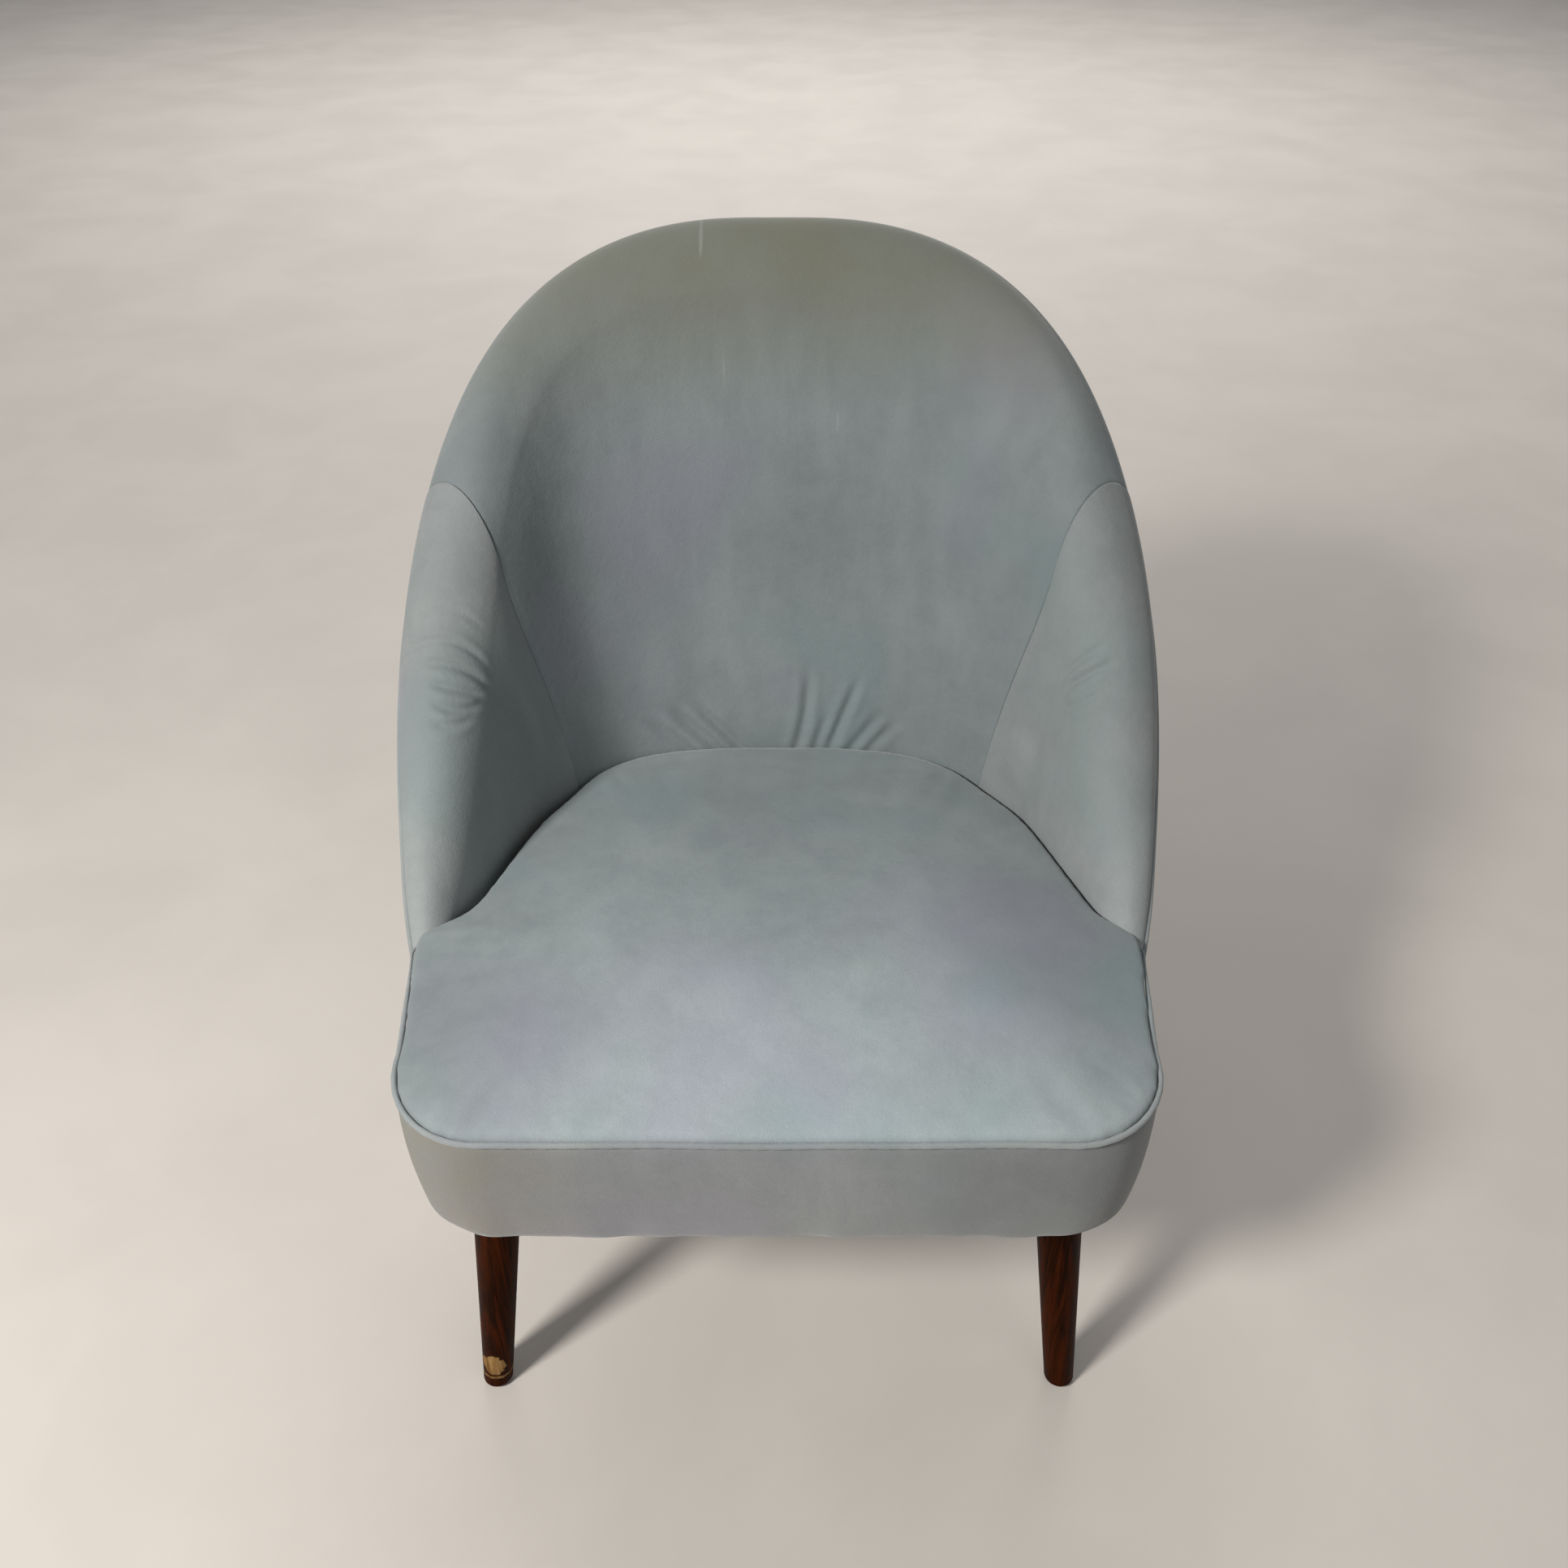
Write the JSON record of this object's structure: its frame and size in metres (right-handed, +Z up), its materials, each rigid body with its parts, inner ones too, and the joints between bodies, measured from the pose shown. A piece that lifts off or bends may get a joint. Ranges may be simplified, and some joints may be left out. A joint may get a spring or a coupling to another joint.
{
  "type": "upholstered bedroom chair",
  "caption": "Velvet bedroom chair with an arched wrap-around back, boxed sprung seat and splayed tapered wooden legs.",
  "frame": {"origin": "on the floor, under the middle of the bounding box", "axes": "+Z up, -Y the way the chair faces, +X to the right of a viewer who faces its front"},
  "size_m": [0.641, 0.64, 0.8627],
  "materials": {
    "velvet": "short-pile velvet",
    "velvet_piping": "self-covered piping",
    "leg_wood": "dark polished mahogany stain",
    "frame_wood": "raw timber",
    "plywood": "raw birch plywood",
    "foam": "open-cell upholstery foam",
    "felt": "needled felt",
    "webbing": "woven elastic webbing",
    "dust_cloth": "black non-woven cloth",
    "spring_steel": "oil-tempered wire",
    "zinc_steel": "zinc plated",
    "glide_plastic": "moulded"
  },
  "bodies": {
    "root": {"arm_post_left": "frame_wood", "arm_post_right": "frame_wood", "back_foam": "foam", "back_post_left": "frame_wood", "back_post_right": "frame_wood", "back_webbing": "webbing", "back_welt": "velvet_piping", "base_ring": "plywood", "corner_block_front_left": "frame_wood", "corner_block_front_right": "frame_wood", "corner_block_rear_left": "frame_wood", "corner_block_rear_right": "frame_wood", "cover_staples": "zinc_steel", "dust_cover": "dust_cloth", "edge_hoop": "plywood", "frame_screws": "zinc_steel", "front_rail": "frame_wood", "inner_back_panel": "velvet", "leg_bolts": "zinc_steel", "leg_front_left": "leg_wood", "leg_front_right": "leg_wood", "leg_glides": "glide_plastic", "leg_rear_left": "leg_wood", "leg_rear_right": "leg_wood", "leg_tee_nuts": "zinc_steel", "outer_back_panel": "velvet", "outer_wing_panel_left": "velvet", "outer_wing_panel_right": "velvet", "rear_rail": "frame_wood", "seat_border": "velvet", "seat_cover_top": "velvet", "seat_felt": "felt", "seat_foam": "foam", "seat_springs": "spring_steel", "seat_welt": "velvet_piping", "side_rail_left": "frame_wood", "side_rail_right": "frame_wood", "spring_clips": "zinc_steel", "wing_foam_left": "foam", "wing_foam_right": "foam", "wing_panel_left": "velvet", "wing_panel_right": "velvet", "wing_post_left": "frame_wood", "wing_post_right": "frame_wood"}
  },
  "joints": []
}
